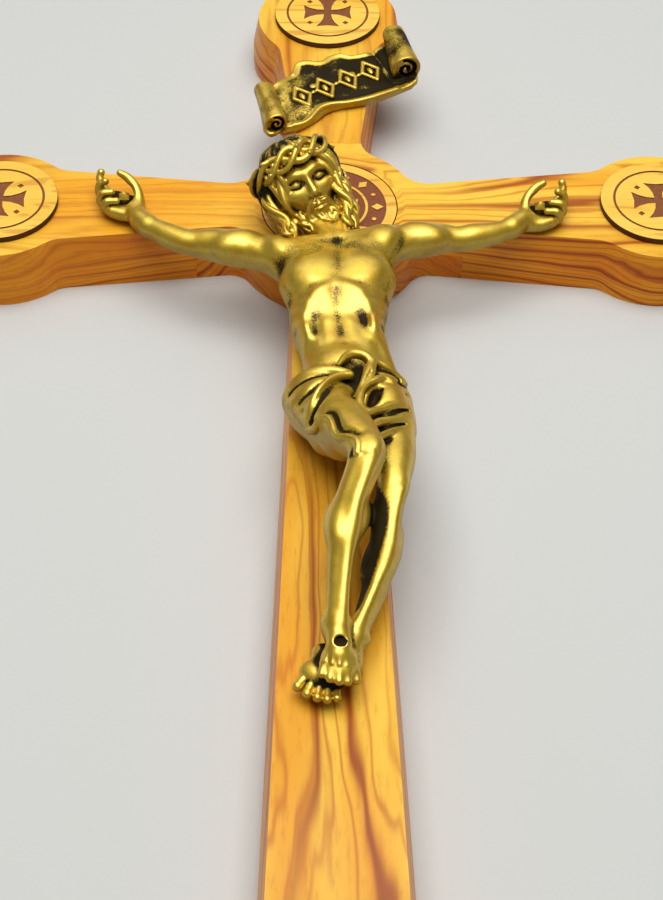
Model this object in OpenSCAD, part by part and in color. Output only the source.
// Wall crucifix: a half-lapped wooden cross with round lobes, glued wooden discs and a cast figure.
// X runs to the viewer's right, Z up the upright, and the back lies on the wall at Y = 0.
// The origin is on the back face, behind the crossing, and the front faces -Y.

/* [Wooden cross] */
// Thickness of both boards once lapped together
board_t = 20; // [14:0.5:28]
// Crossing to the centre of each side disc
arm_reach = 107.5; // [100:0.5:125]
// Crossing to the centre of the top disc
top_reach = 103.5; // [102:0.5:120]
// Crossing to the centre of the bottom disc
foot_reach = 275; // [245:1:320]
// Radius of the round end lobes, at the back
lobe_r = 27.1; // [24:0.1:29]
// Radius of the round lobe at the crossing, at the back
centre_lobe_r = 31; // [28.5:0.5:36]
// Width of every arm where it leaves the centre lobe, at the back
neck_w = 25; // [20:0.5:32]
// Width of the side and top arms where they meet their lobes
arm_end_w = 36.4; // [30:0.2:41]
// Width of the lower arm where it meets its lobe
foot_end_w = 38.8; // [32:0.2:43]
// Radius of the hollow fillets between arms and lobes
fillet_r = 8; // [4:0.5:12]
// How far the tapered edge band reaches down from the front face
bevel_depth = 11; // [6:0.5:13]
// How far the front edge stands in from the back outline
bevel_inset = 2.1; // [0.8:0.1:3]

/* [Half-lap joint] */
// Height of the crossbar's board, which covers the front of the crossing
lap_band = 63; // [58:0.5:70]
// Width of the upright's board, which covers the back of the crossing
wing_w = 87; // [76:0.5:100]

/* [Glued discs] */
// Radius of the four end discs
disc_r = 19; // [15:0.5:21]
// Thickness of the four end discs
disc_t = 2.2; // [1.5:0.1:4]
// Radius of the burnt line on each end disc
line_r = 14.5; // [10:0.5:17]
// Width of the burnt line
line_w = 0.8; // [0.4:0.1:1.5]
// Depth of the burnt line and figures
burn_depth = 0.3; // [0.2:0.05:0.6]
// Overall size of the plain cross sunk into each end disc
mark_w = 15; // [8:0.5:18]
// Width of the arms of that cross
mark_bar = 4.2; // [2:0.2:6]
// Radius of the medallion at the crossing
medal_r = 22; // [19:0.5:23]
// Thickness of the medallion
medal_t = 2.4; // [1.6:0.1:3.5]
// How far the medallion's face lies below the wood's front face
medal_drop = 0.8; // [0.2:0.1:2]
// Gap all round the medallion in its seat
medal_gap = 0.3; // [0.1:0.05:0.6]
// Width of the turned cove round the medallion
cove_w = 2.7; // [1:0.1:4]
// Outer radius of the medallion's sunk band
band_r = 18.6; // [16:0.2:20]
// Inner radius of the medallion's sunk band
band_in_r = 12.6; // [11:0.2:14]
// Overall size of the plain cross sunk into the medallion
medal_mark_w = 20; // [12:0.5:21]
// Width of the arms of that cross
medal_mark_bar = 3.2; // [2:0.2:6]

/* [Cast scroll] */
// Length of the scroll between its rolled ends
scroll_l = 53.5; // [45.5:0.5:61.5]
// Height of the scroll
scroll_h = 26; // [20:0.5:28]
// Thickness of the cast sheet
sheet_t = 1.8; // [1.2:0.1:2.6]
// Space between the sheet and the wood
sheet_lift = 1.5; // [0.8:0.1:3]
// Tilt of the scroll
scroll_tilt = 27; // [0:1:35]
// Centre of the top disc down to the scroll's middle
scroll_drop = 42.5; // [37:0.5:45]
// How far the scroll's middle stands to the viewer's right
scroll_x = 1.5; // [-4:0.5:6]
// Radius of the roll at the viewer's left
roll_left_r = 3.9; // [2.6:0.1:5]
// Radius of the roll at the viewer's right
roll_right_r = 5.2; // [3.2:0.1:6]
// Radius of the two studs behind the sheet, which stand on the wood round the pins
stud_r = 2.4; // [1.6:0.1:3.4]
// Radius of the two hidden pins
pin_r = 0.8; // [0.5:0.1:1.4]
// Distance between the two hidden pins
pin_spacing = 15; // [8:0.5:18]
// Depth of each pin in the wood
pin_depth = 6; // [3:0.5:8]

/* [Cast figure] */
// Size that the figure is drawn to, a little under its height
figure_h = 200; // [184:1:206]
// Gap between the figure's flat back and the wood
seat_gap = 0.3; // [0.1:0.1:0.6]

/* [Nails] */
// Radius of the hand and foot nails
nail_r = 0.9; // [0.6:0.1:1.3]
// Width of the square heads of the hand nails
nail_head_w = 3.4; // [2.4:0.2:4.4]
// Height of the pyramid of the hand nails' heads
nail_head_h = 1.8; // [1:0.1:2.6]
// Radius of the foot nail's round head
foot_head_r = 1.9; // [1.2:0.1:2.6]
// Thickness of the foot nail's round head
foot_head_h = 1.1; // [0.6:0.1:1.8]
// Depth of the nails in the wood
nail_depth = 8; // [4:0.5:9]
// Gap round pins and nails in their holes
hole_gap = 0.08; // [0.05:0.01:0.2]

/* [Hanger at the back] */
// Centre of the top disc down to the ring's hinge line
hinge_drop = 21.5; // [19.5:0.5:25]
// Depth of the routed pocket
pocket_d = 4.6; // [4.2:0.1:6]
// Width of the routed pocket
pocket_w = 23; // [21:0.5:25]
// Radius of the D-shaped ring's hinge bar
wire_r = 0.9; // [0.85:0.05:1]
// Radius of the wire of its round bow
bow_r = 0.8; // [0.6:0.02:0.82]
// Width of the ring, between the middles of the bow's two ends
ring_w = 18; // [16:0.5:19]
// Running clearance of the hinge bar in the rolled eye
hinge_gap = 0.06; // [0.03:0.01:0.1]
// Thickness of the strap
strap_t = 0.8; // [0.6:0.05:1]
// Width of the strap and its rolled eye
strap_w = 9; // [7:0.5:10]
// Gap between the screw's head and the bow as it hangs
screw_gap = 0.6; // [0.3:0.1:1.2]
// Radius of the screw's round head
screw_head_r = 2; // [1.6:0.1:2.2]
// Height of the screw's round head
screw_head_h = 1.2; // [0.8:0.1:1.4]
// Radius of the screw's shank
screw_r = 1.1; // [0.8:0.1:1.3]
// Length of the screw's shank
screw_l = 8; // [5:0.5:10]

/* [Hidden] */

// Overrun of every cut past the faces that it opens
cut = 1;
// A size that reaches past every face of the cross
huge = 4 * (foot_reach + lobe_r);
// Facets of round, exact shapes
$fn = 64;
// Steps along each arc of the cross's outline: centre lobe, fillet and half an end lobe
centre_steps = 5;
fillet_steps = 6;
lobe_steps = 20;

// Angle, reach and end width of each arm, clockwise from the viewer's right
arms = [
    [0, arm_reach, arm_end_w],
    [-90, foot_reach, foot_end_w],
    [180, arm_reach, arm_end_w],
    [90, top_reach, arm_end_w]
];

// A point turned by an angle in the plane
function turned(p, a) = [p[0] * cos(a) - p[1] * sin(a), p[0] * sin(a) + p[1] * cos(a)];

// Points of an arc about c, from the given step on
function arc(c, r, a0, a1, steps, first = 0) =
    [for (i = [first:steps]) let (a = a0 + (a1 - a0) * i / steps) c + r * [cos(a), sin(a)]];

// The upper edge of an arm that lies along +X, from the centre lobe's diagonal to the arm's tip.
// The outline is taken in by inset, so lobes shrink and fillets grow by it.
function arm_edge(reach, end_w, inset) =
    let (
        run = reach - lobe_r - centre_lobe_r,
        slope = (end_w - neck_w) / 2 / run,
        rise = atan(slope),
        base = neck_w / 2 - slope * centre_lobe_r + fillet_r / cos(rise),
        one = 1 + slope * slope,
        near_r = centre_lobe_r + fillet_r,
        far_r = lobe_r + fillet_r,
        near_x = (-base * slope + sqrt(one * near_r * near_r - base * base)) / one,
        near = [near_x, base + slope * near_x],
        half = (reach - base * slope) / one,
        far_x = half - sqrt(half * half - (reach * reach + base * base - far_r * far_r) / one),
        far = [far_x, base + slope * far_x],
        near_a = atan2(near[1], near[0]),
        far_a = atan2(far[1], far[0] - reach)
    )
    concat(
        arc([0, 0], centre_lobe_r - inset, 45, near_a, centre_steps),
        arc(near, fillet_r + inset, 180 + near_a, 270 + rise, fillet_steps, 1),
        arc(far, fillet_r + inset, 270 + rise, 180 + far_a, fillet_steps),
        arc([reach, 0], lobe_r - inset, far_a, 0, lobe_steps, 1)
    );

// Steps from a diagonal of the crossing to an arm's tip, and points of an arm's whole edge
edge_n = centre_steps + 2 * fillet_steps + lobe_steps + 1;
arm_n = 2 * edge_n;
ring_n = 4 * arm_n;

// The whole outline of the cross, clockwise seen from the front, taken in by inset
function outline(inset) = [
    for (arm = arms)
        let (edge = arm_edge(arm[1], arm[2], inset))
        for (i = [0:arm_n - 1])
            turned(i <= edge_n ? edge[i] : [edge[arm_n - i][0], -edge[arm_n - i][1]], arm[0])
];

// Strips across each arm and a square at the crossing, which close one outline
function cap(ring) = concat(
    [
        for (k = [0:3])
            for (i = [0:edge_n - 1])
                [for (j = [i, i + 1, arm_n - i - 1, arm_n - i]) ring * ring_n + (k * arm_n + j) % ring_n]
    ],
    [[for (k = [0:3]) ring * ring_n + k * arm_n]]
);

// The other way round, so that a face looks the other way
function flipped(face) = [for (i = [len(face) - 1:-1:0]) face[i]];

// A strip at an arm's tip has two corners in one place, and keeps one
function three_or_four(face) = face[1] == face[2] ? [face[0], face[1], face[3]] : face;

// Both boards as one body: straight walls at the back and a tapered band up to the front edge
module cross_body() {
    rings = [[0, 0], [0, bevel_depth - board_t], [bevel_inset, -board_t]];
    points = [for (ring = rings) for (p = outline(ring[0])) [p[0], ring[1], p[1]]];
    sides = [
        for (row = [0, 1])
            for (i = [0:ring_n - 1])
                let (a = row * ring_n + i, b = row * ring_n + (i + 1) % ring_n)
                [a, b, b + ring_n, a + ring_n]
    ];
    back_cap = [for (face = cap(0)) flipped(three_or_four(face))];
    front_cap = [for (face = cap(2)) three_or_four(face)];
    polyhedron(points, concat(sides, back_cap, front_cap), convexity = 8);
}

// The space that belongs to the crossbar: the front half of the crossing and both outer arms
module crossbar_space() {
    translate([-huge / 2, -board_t - cut, -lap_band / 2])
        cube([huge, board_t / 2 + cut, lap_band]);
    for (side = [-1, 1])
        translate([side * (wing_w + huge) / 2, 0, 0])
            cube([huge, huge, huge], center = true);
}

// A round rod or hole that runs along Y between two depths in front of the wall
module along_y(x, z, r, from_y, to_y) {
    translate([x, to_y, z])
        rotate([-90, 0, 0])
            cylinder(r = r, h = from_y - to_y);
}

// Places on the wood's front, as shares of the figure's size: across, out from the wood, and up
hand_nail_shares = [[-0.331, 0.026, -0.0225], [0.337, 0.026, -0.0435]];
foot_nail_share = [0.006, 0.066, -0.918];

// Heights of the scroll's middle and of the ring's hinge line above the crossing
scroll_z = top_reach - scroll_drop;
hinge_z = top_reach - hinge_drop;

// The seats of the two scroll pins, on the tilted scroll
function pin_place(side) =
    [scroll_x, scroll_z] + turned([side * pin_spacing / 2, 0], scroll_tilt);

module nail_holes(shares) {
    for (s = shares)
        along_y(s[0] * figure_h, s[2] * figure_h, nail_r + hole_gap, -board_t + nail_depth, -board_t - cut);
}

// Hinge line to the middle of the bow, to the screw that clears it, and to the strap's round end
ring_l = ring_w / 2;
screw_drop = ring_l + bow_r + screw_gap + screw_head_r;
strap_l = screw_drop + strap_w / 2;

// The routed pocket that holds the hanger below the back face
module hanger_pocket() {
    end_r = pocket_w / 2;
    low = hinge_z - strap_l - wire_r + end_r;
    high = hinge_z + ring_l + 3 * wire_r - end_r;
    for (z = [low, high])
        along_y(0, z, end_r, cut, -pocket_d);
    translate([-end_r, -pocket_d, low])
        cube([pocket_w, pocket_d + cut, high - low]);
}

module upright() {
    color("goldenrod")
        difference() {
            cross_body();
            crossbar_space();
            hanger_pocket();
            for (side = [-1, 1])
                along_y(pin_place(side)[0], pin_place(side)[1], pin_r + hole_gap,
                    -board_t + pin_depth, -board_t - cut);
            nail_holes([foot_nail_share]);
            along_y(0, hinge_z - screw_drop, screw_r + hole_gap, cut, -pocket_d - screw_l);
        }
}

// Depth of the hollow cove at the middle of its width, as a share of its whole depth
cove_share = 0.7;

// The turned seat of the medallion, with a hollow cove up to the wood's face
module medal_seat() {
    floor_d = medal_t + medal_drop;
    inner_r = medal_r + medal_gap;
    translate([0, -board_t, 0])
        rotate([-90, 0, 0])
            rotate_extrude()
                polygon([
                    [0, -cut],
                    [inner_r + cove_w, -cut],
                    [inner_r + cove_w, 0],
                    [inner_r + cove_w / 2, medal_drop * cove_share],
                    [inner_r, medal_drop],
                    [inner_r, floor_d],
                    [0, floor_d]
                ]);
}

module crossbar() {
    color("orange")
        difference() {
            intersection() {
                cross_body();
                crossbar_space();
            }
            medal_seat();
            nail_holes(hand_nail_shares);
        }
}

// A plain cross with equal arms, sunk into a disc
module sunk_mark(size, bar, y) {
    for (a = [0, 90])
        translate([0, y, 0])
            rotate([0, a, 0])
                cube([size, 2 * burn_depth, bar], center = true);
}

// A ring groove between two radii, sunk into a face at y
module sunk_ring(outer_r, inner_r, y) {
    difference() {
        along_y(0, 0, outer_r, y + burn_depth, y - cut);
        along_y(0, 0, inner_r, y + 2 * burn_depth, y - 2 * cut);
    }
}

module end_disc(x, z) {
    face_y = -board_t - disc_t;
    color("khaki")
        translate([x, 0, z])
            difference() {
                along_y(0, 0, disc_r, -board_t, face_y);
                sunk_ring(line_r + line_w / 2, line_r - line_w / 2, face_y);
                sunk_mark(mark_w, mark_bar, face_y);
            }
}

module top_disc() {
    end_disc(0, top_reach);
}

module left_disc() {
    end_disc(-arm_reach, 0);
}

module right_disc() {
    end_disc(arm_reach, 0);
}

module bottom_disc() {
    end_disc(0, -foot_reach);
}

module medallion() {
    face_y = -board_t + medal_drop;
    color("burlywood")
        difference() {
            along_y(0, 0, medal_r, face_y + medal_t, face_y);
            sunk_ring(band_r, band_in_r, face_y);
            sunk_mark(medal_mark_w, medal_mark_bar, face_y);
        }
}

// Outline of the scroll's sheet, as shares of its length and height from its middle
sheet_shares = [
    [-0.62, -0.48], [-0.61, -0.61], [-0.57, -0.64], [-0.5, -0.58], [-0.42, -0.61], [-0.35, -0.62], [-0.28, -0.56], [-0.2, -0.46], [-0.11, -0.44],
    [0, -0.51], [0.16, -0.56], [0.34, -0.55], [0.5, -0.5], [0.5, 0.36], [0.33, 0.36], [0.23, 0.41],
    [0.18, 0.51], [0.1, 0.51], [0.02, 0.45], [-0.06, 0.56], [-0.13, 0.57], [-0.2, 0.41], [-0.32, 0.33],
    [-0.5, 0.12]
];
// Lean of each roll from the scroll's own upright line
roll_lean = [13, 16];
// Length of each roll, and its place along its own axis, as shares of the scroll's height
roll_length_shares = [0.77, 0.83];
roll_place_shares = [-0.2, 0.03];
// Radius of each roll's upper end, as a share of its lower end's
roll_top_shares = [0.88, 0.74];
// Radius of the hollow at each end of a roll, as a share of the roll's
roll_bore_share = 0.45;

// A rolled end: a tapered tube, open at both ends, whose lower end lies as deep as the sheet's back
module scroll_roll(i, x, r) {
    length = roll_length_shares[i] * scroll_h;
    translate([x, -sheet_lift - r, roll_place_shares[i] * scroll_h])
        rotate([0, roll_lean[i], 0])
            difference() {
                cylinder(r1 = r, r2 = r * roll_top_shares[i], h = length, center = true);
                for (end = [-1, 1])
                    translate([0, 0, end * length / 2])
                        cylinder(r = r * roll_bore_share, h = r, center = true);
            }
}

module titulus_scroll() {
    color("darkgoldenrod")
        translate([scroll_x, -board_t, scroll_z])
            rotate([0, -scroll_tilt, 0])
                difference() {
                    union() {
                        translate([0, -sheet_lift, 0])
                            rotate([90, 0, 0])
                                linear_extrude(height = sheet_t)
                                    polygon([for (s = sheet_shares) [s[0] * scroll_l, s[1] * scroll_h]]);
                        scroll_roll(0, -scroll_l / 2, roll_left_r);
                        scroll_roll(1, scroll_l / 2, roll_right_r);
                        for (side = [-1, 1])
                            along_y(side * pin_spacing / 2, 0, stud_r, 0, -sheet_lift - sheet_t / 2);
                    }
                    for (side = [-1, 1])
                        along_y(side * pin_spacing / 2, 0, pin_r + hole_gap, cut, -sheet_lift - sheet_t / 2);
                }
}

module titulus_pins() {
    color("darkkhaki")
        for (side = [-1, 1])
            along_y(pin_place(side)[0], pin_place(side)[1], pin_r,
                -board_t + pin_depth - hole_gap, -board_t - sheet_lift - sheet_t / 2 + hole_gap);
}

// The figure's joints and landmarks, as shares of its size: across, out from the wood, and up
pelvis_share = [0.0225, 0.055, -0.5];
waist_share = [0.02, 0.0525, -0.4];
low_ribs_share = [0.0115, 0.055, -0.33];
chest_share = [0.0105, 0.055, -0.27];
collar_share = [0.009, 0.05, -0.205];
neck_share = [0.0025, 0.0525, -0.155];
skull_share = [-0.044, 0.085, -0.055];
shoulder_shares = [[-0.0675, 0.05, -0.1675], [0.085, 0.05, -0.1525]];
elbow_shares = [[-0.205, 0.0325, -0.1325], [0.2175, 0.0325, -0.1175]];
wrist_shares = [[-0.2925, 0.023, -0.0725], [0.3025, 0.023, -0.0775]];
palm_shares = [[-0.3325, 0.0205, -0.0175], [0.3375, 0.0205, -0.04]];
hip_shares = [[-0.0225, 0.05, -0.51], [0.0725, 0.05, -0.515]];
knee_shares = [[0.05, 0.145, -0.6625], [0.0915, 0.1, -0.69]];
ankle_shares = [[0.004, 0.06, -0.8775], [0.024, 0.0375, -0.895]];
ball_shares = [[0.003, 0.048, -0.955], [-0.012, 0.02, -0.962]];
// How the head bows, leans and turns
head_bow = 49;
head_lean = 25;
head_turn = 12;
// Facets of the figure's trunk and thighs, its limbs, its small forms and its fingers and toes
body_fn = 18;
limb_fn = 16;
small_fn = 10;
finger_fn = 8;

// A point of the figure, from its shares to millimetres on the wood's face
function on_figure(s) = figure_h * [s[0], -s[1], s[2]];

// An oval form about a place, with its three half sizes as shares
module oval(place, halves, facets = body_fn) {
    translate(on_figure(place))
        scale(figure_h * halves)
            sphere(r = 1, $fn = facets);
}

// Ovals that blend into one form
module blended(forms, facets = body_fn) {
    hull()
        for (form = forms)
            oval(form[0], form[1], facets);
}

// A chain of tapering limbs through places, with one radius for each
module chain(places, radii, facets = small_fn) {
    for (i = [0:len(places) - 2])
        blended([for (k = [i, i + 1]) [places[k], [1, 1, 1] * radii[k]]], facets);
}

// The trunk's forms, each a list of ovals with their places and half sizes
trunk_shares = [
    [[collar_share, [0.072, 0.042, 0.03]], [chest_share, [0.079, 0.05, 0.045]]],
    [[chest_share, [0.079, 0.05, 0.045]], [low_ribs_share, [0.07, 0.046, 0.05]]],
    [[low_ribs_share, [0.066, 0.04, 0.045]], [waist_share, [0.062, 0.038, 0.04]],
        [pelvis_share, [0.074, 0.042, 0.04]]],
    [[chest_share + [-0.036, 0.02, 0.008], [0.038, 0.024, 0.03]]],
    [[chest_share + [0.036, 0.02, 0.008], [0.038, 0.024, 0.03]]],
    [[neck_share, [0.027, 0.027, 0.027]], [skull_share + [0.02, -0.03, -0.02], [0.027, 0.027, 0.027]]]
];

module trunk() {
    for (forms = trunk_shares)
        blended(forms);
}

// From the collar to each arm's root, and radii from the root to the shoulder and on to the wrist
arm_root_share = [0.035, 0, -0.01];
shoulder_radius_shares = [0.036, 0.03];
arm_radius_shares = [0.028, 0.023, 0.0185, 0.02, 0.013];
// Places of the upper arm's and the forearm's swell, along their bones
upper_arm_share = 0.5;
forearm_share = 0.35;

// A place between two others
function between(a, b, share) = a * (1 - share) + b * share;

module arm(i) {
    side = i == 0 ? -1 : 1;
    root = collar_share + [side * arm_root_share[0], arm_root_share[1], arm_root_share[2]];
    upper = between(shoulder_shares[i], elbow_shares[i], upper_arm_share);
    lower = between(elbow_shares[i], wrist_shares[i], forearm_share);
    chain([root, shoulder_shares[i]], shoulder_radius_shares, body_fn);
    chain([shoulder_shares[i], upper, elbow_shares[i], lower, wrist_shares[i]], arm_radius_shares, limb_fn);
}

// A right hand from its palm: its heel and palm, then the joints of each finger and of the thumb
wrist_half_shares = [0.013, 0.012, 0.013];
palm_form_shares = [[[-0.008, 0, -0.004], [0.02, 0.012, 0.02]], [[0.004, 0, 0], [0.026, 0.012, 0.022]]];
finger_shares = [
    [[0.026, 0, 0.018], [0.036, 0.012, 0.034], [0.034, 0.03, 0.04]],
    [[0.031, 0, 0.005], [0.041, 0.014, 0.014], [0.034, 0.032, 0.018]],
    [[0.029, 0, -0.008], [0.038, 0.014, -0.002], [0.03, 0.03, 0.002]],
    [[0.022, 0, -0.018], [0.031, 0.013, -0.014], [0.025, 0.026, -0.01]]
];
finger_radius_shares = [0.0085, 0.0072, 0.0058];
thumb_shares = [[-0.02, 0.002, 0], [-0.018, 0.012, 0.026], [-0.006, 0.02, 0.04], [0.008, 0.024, 0.046]];
thumb_radius_shares = [0.011, 0.009, 0.0078, 0.006];

module hand(i) {
    side = i == 0 ? -1 : 1;
    function placed(s) = palm_shares[i] + [side * s[0], s[1], s[2]];
    forms = [for (form = palm_form_shares) [placed(form[0]), form[1]]];
    blended([[wrist_shares[i], wrist_half_shares], forms[0]], small_fn);
    blended([forms[1]], small_fn);
    for (finger = finger_shares)
        chain([for (s = finger) placed(s)], finger_radius_shares, finger_fn);
    chain([for (s = thumb_shares) placed(s)], thumb_radius_shares, finger_fn);
}

// Radii from hip to knee and from knee to ankle, and places of the swells between them
thigh_radius_shares = [0.044, 0.037, 0.026];
thigh_share = 0.5;
thigh_swell_share = [0, 0.004, 0];
shin_radius_shares = [0.026, 0.028, 0.019, 0.0155];
calf_share = 0.3;
calf_swell_share = [0, -0.012, 0];
shin_share = 0.65;

module leg(i) {
    thigh = between(hip_shares[i], knee_shares[i], thigh_share) + thigh_swell_share;
    calf = between(knee_shares[i], ankle_shares[i], calf_share) + calf_swell_share;
    shin = between(knee_shares[i], ankle_shares[i], shin_share);
    chain([hip_shares[i], thigh, knee_shares[i]], thigh_radius_shares, body_fn);
    chain([knee_shares[i], calf, shin, ankle_shares[i]], shin_radius_shares, limb_fn);
}

// A foot: its ankle, its instep from the ball of the foot, its heel from the ankle, and its toes
ankle_half_shares = [0.0165, 0.0165, 0.0165];
instep_shares = [[0, 0, 0.012], [0.024, 0.013, 0.016]];
heel_share = [0, -0.018, 0];
heel_radius_shares = [0.015, 0.014];
toe_root_shares = [[-0.024, 0, 0], [-0.014, 0, 0], [-0.003, 0, 0], [0.007, 0, 0], [0.017, 0, 0]];
toe_tip_shares = [
    [-0.03, 0.004, -0.022], [-0.017, 0.004, -0.021], [-0.004, 0.004, -0.0195],
    [0.009, 0.004, -0.018], [0.021, 0.004, -0.017]
];
toe_radius_shares = [0.0085, 0.0065];

module foot(i) {
    blended([[ankle_shares[i], ankle_half_shares], [ball_shares[i] + instep_shares[0], instep_shares[1]]],
        small_fn);
    chain([ankle_shares[i], ankle_shares[i] + heel_share], heel_radius_shares);
    for (k = [0:4])
        chain([for (s = [toe_root_shares[k], toe_tip_shares[k]]) ball_shares[i] + s],
            toe_radius_shares, finger_fn);
}

// The head's forms from its own middle, with Z to its crown: skull, jaw, beard and nose
head_shares = [
    [[0, -0.004, 0.014], [0.046, 0.053, 0.048]],
    [[0, 0.018, -0.016], [0.034, 0.034, 0.046]],
    [[0, 0.03, -0.046], [0.022, 0.022, 0.026]],
    [[0, 0.053, -0.012], [0.007, 0.008, 0.014]]
];
// A lock of hair at the viewer's right of the face, and its radii
lock_shares = [[0.04, 0.008, 0.03], [0.052, 0.006, -0.004], [0.05, 0, -0.036], [0.044, 0, -0.07]];
lock_radius_shares = [0.02, 0.02, 0.018, 0.011];
// The woven crown: each strand's height, radius and tilts, and the thickness of all
strand_shares = [[0.022, 0.062], [0.033, 0.058], [0.044, 0.054]];
strand_tilts = [[-14, -8, 0], [-7, 0, 40], [0, 8, 80]];
strand_radius_share = 0.0085;
strand_fn = 22;
strand_sides = 6;

module head() {
    translate(on_figure(skull_share))
        rotate([head_bow, 0, 0])
            rotate([0, -head_lean, 0])
                rotate([0, 0, head_turn]) {
                    for (form = head_shares)
                        oval(form[0], form[1]);
                    for (side = [-1, 1])
                        chain([for (s = lock_shares) [side * s[0], s[1], s[2]]], lock_radius_shares);
                    for (k = [0:2])
                        translate([0, 0, figure_h * strand_shares[k][0]])
                            rotate(strand_tilts[k])
                                rotate_extrude($fn = strand_fn)
                                    translate([figure_h * strand_shares[k][1], 0])
                                        circle(r = figure_h * strand_radius_share, $fn = strand_sides);
                }
}

// The loincloth from the pelvis and hips: its band and skirt, the rope of folds and the knotted loop
cloth_shares = [
    [[pelvis_share + [0, 0, 0.045], [0.078, 0.046, 0.03]],
        [pelvis_share + [0, 0.004, -0.01], [0.09, 0.05, 0.045]]],
    [[pelvis_share + [0, 0.004, -0.01], [0.088, 0.05, 0.045]],
        [hip_shares[0] + [0.012, 0.03, -0.07], [0.05, 0.04, 0.03]],
        [hip_shares[1] + [-0.004, 0.01, -0.06], [0.044, 0.046, 0.03]]]
];
rope_shares = [
    [-0.088, 0.02, 0.01], [-0.06, 0.046, 0.034], [-0.02, 0.058, 0.042],
    [0.024, 0.062, 0.036], [0.06, 0.05, 0.038], [0.09, 0.024, 0.03]
];
rope_radius_shares = [0.009, 0.011, 0.011, 0.011, 0.01, 0.009];
loop_shares = [
    [0.03, 0.064, 0.03], [0.07, 0.066, 0.014], [0.088, 0.05, -0.03],
    [0.06, 0.066, -0.05], [0.036, 0.072, -0.02], [0.03, 0.064, 0.02]
];
loop_radius_shares = [0.012, 0.012, 0.011, 0.011, 0.011, 0.011];

module loincloth() {
    for (forms = cloth_shares)
        blended(forms);
    chain([for (s = rope_shares) pelvis_share + s], rope_radius_shares);
    chain([for (s = loop_shares) pelvis_share + s], loop_radius_shares);
}

// Facets of the nail holes through the figure
hole_fn = 24;

module corpus() {
    color("olivedrab")
        translate([0, -board_t, 0])
            difference() {
                union() {
                    trunk();
                    head();
                    loincloth();
                    for (i = [0, 1]) {
                        arm(i);
                        hand(i);
                        leg(i);
                        foot(i);
                    }
                }
                translate([-huge / 2, -seat_gap, -huge / 2])
                    cube([huge, huge, huge]);
                for (s = concat(hand_nail_shares, [foot_nail_share]))
                    translate(on_figure([s[0], 0, s[2]]))
                        rotate([90, 0, 0])
                            cylinder(r = nail_r + hole_gap, h = figure_h, $fn = hole_fn);
                translate(on_figure(foot_nail_share))
                    rotate([90, 0, 0])
                        cylinder(r = foot_head_r + hole_gap, h = figure_h, $fn = hole_fn);
            }
}

// Width of the blunt tip of a hand nail's pyramid, as a share of its head's
nail_tip_share = 0.2;

// Square-headed nails, whose pyramid stands on the palm
module hand_nails() {
    color("peru")
        translate([0, -board_t, 0])
            for (s = hand_nail_shares) {
                neck = -s[1] * figure_h - nail_head_h;
                corner = nail_head_w / sqrt(2);
                along_y(s[0] * figure_h, s[2] * figure_h, nail_r, nail_depth - hole_gap, neck);
                translate([s[0] * figure_h, neck, s[2] * figure_h])
                    rotate([90, 45, 0])
                        cylinder(r1 = corner, r2 = corner * nail_tip_share, h = nail_head_h, $fn = 4);
            }
}

module foot_nail() {
    place = on_figure(foot_nail_share);
    color("dimgray")
        translate([0, -board_t, 0]) {
            along_y(place[0], place[2], nail_r, nail_depth - hole_gap, place[1] - foot_head_h / 2);
            along_y(place[0], place[2], foot_head_r, place[1] - hole_gap, place[1] - foot_head_h);
        }
}

// Radius of the strap's rolled eye, and how far its centre lies in from the back face
eye_r = wire_r + hinge_gap + strap_t;
eye_y = -pocket_d + eye_r;

module hanger_strap() {
    color("silver")
        difference() {
            union() {
                translate([-strap_w / 2, eye_y, hinge_z])
                    rotate([0, 90, 0])
                        cylinder(r = eye_r, h = strap_w);
                translate([-strap_w / 2, -pocket_d, hinge_z - screw_drop])
                    cube([strap_w, strap_t, screw_drop]);
                along_y(0, hinge_z - screw_drop, strap_w / 2, -pocket_d + strap_t, -pocket_d);
            }
            translate([-strap_w / 2 - cut, eye_y, hinge_z])
                rotate([0, 90, 0])
                    cylinder(r = wire_r + hinge_gap, h = strap_w + 2 * cut);
            along_y(0, hinge_z - screw_drop, screw_r + hole_gap, cut - pocket_d + strap_t, -pocket_d - cut);
        }
}

module hanger_ring() {
    color("lightgray")
        translate([0, eye_y, hinge_z])
            union() {
                translate([-ring_l - wire_r, 0, 0])
                    rotate([0, 90, 0])
                        cylinder(r = wire_r, h = ring_w + 2 * wire_r);
                rotate([-90, 0, 0])
                    rotate_extrude(angle = 180)
                        translate([ring_l, 0])
                            circle(r = bow_r);
            }
}

module hanger_screw() {
    top_y = -pocket_d + strap_t;
    place_z = hinge_z - screw_drop;
    color("gray")
        union() {
            along_y(0, place_z, screw_r, top_y, -pocket_d - screw_l + hole_gap);
            along_y(0, place_z, screw_head_r, top_y + screw_head_h, top_y);
        }
}

upright();
crossbar();
medallion();
top_disc();
left_disc();
right_disc();
bottom_disc();
titulus_scroll();
titulus_pins();
corpus();
hand_nails();
foot_nail();
hanger_strap();
hanger_ring();
hanger_screw();
